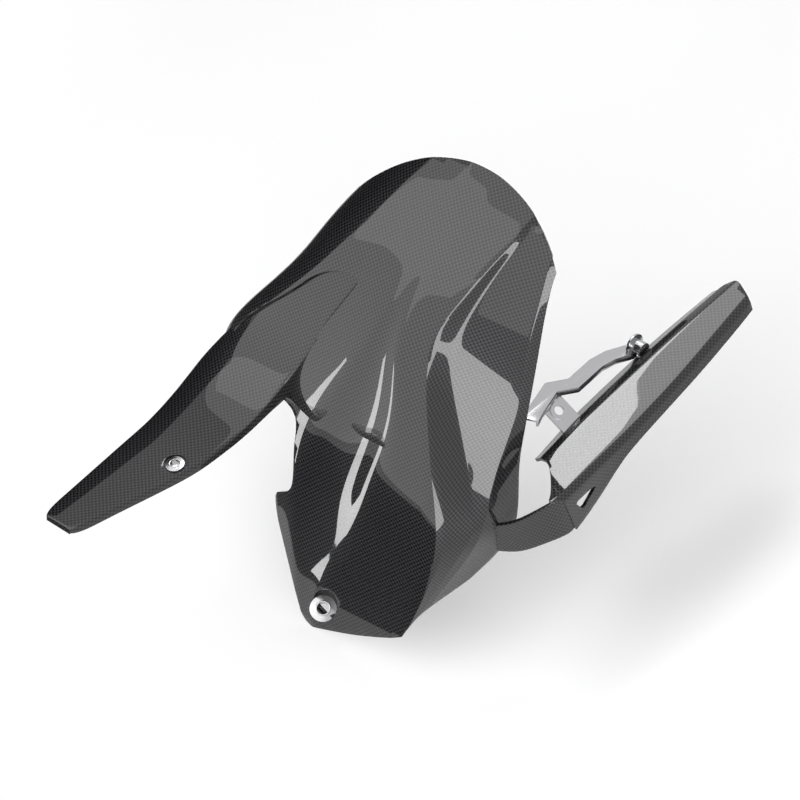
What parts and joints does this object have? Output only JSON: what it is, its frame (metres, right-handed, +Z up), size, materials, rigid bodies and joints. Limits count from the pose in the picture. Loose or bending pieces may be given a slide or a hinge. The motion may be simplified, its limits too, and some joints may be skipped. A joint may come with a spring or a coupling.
{
  "type": "motorcycle rear fender",
  "caption": "Carbon laminate rear hugger that arches over the wheel, with a bolted arm and bib, a side scoop, an integral chain guard and a pressed steel stay.",
  "frame": {"origin": "centre of the bolt hole in the arm, on the seat of its bush", "axes": "+X to the left of the motorcycle, +Y to its rear, +Z up along the arm bolt hole"},
  "size_m": [0.3018, 0.4752, 0.3192],
  "materials": {
    "carbon": "clear-coated plain carbon weave",
    "steel": "bright pressed steel",
    "bush": "turned steel"
  },
  "bodies": {
    "root": {"hugger_shell": "carbon", "stay_bracket": "steel", "stay_collar": "steel", "arm_bush": "bush", "front_bush": "bush"}
  },
  "joints": []
}
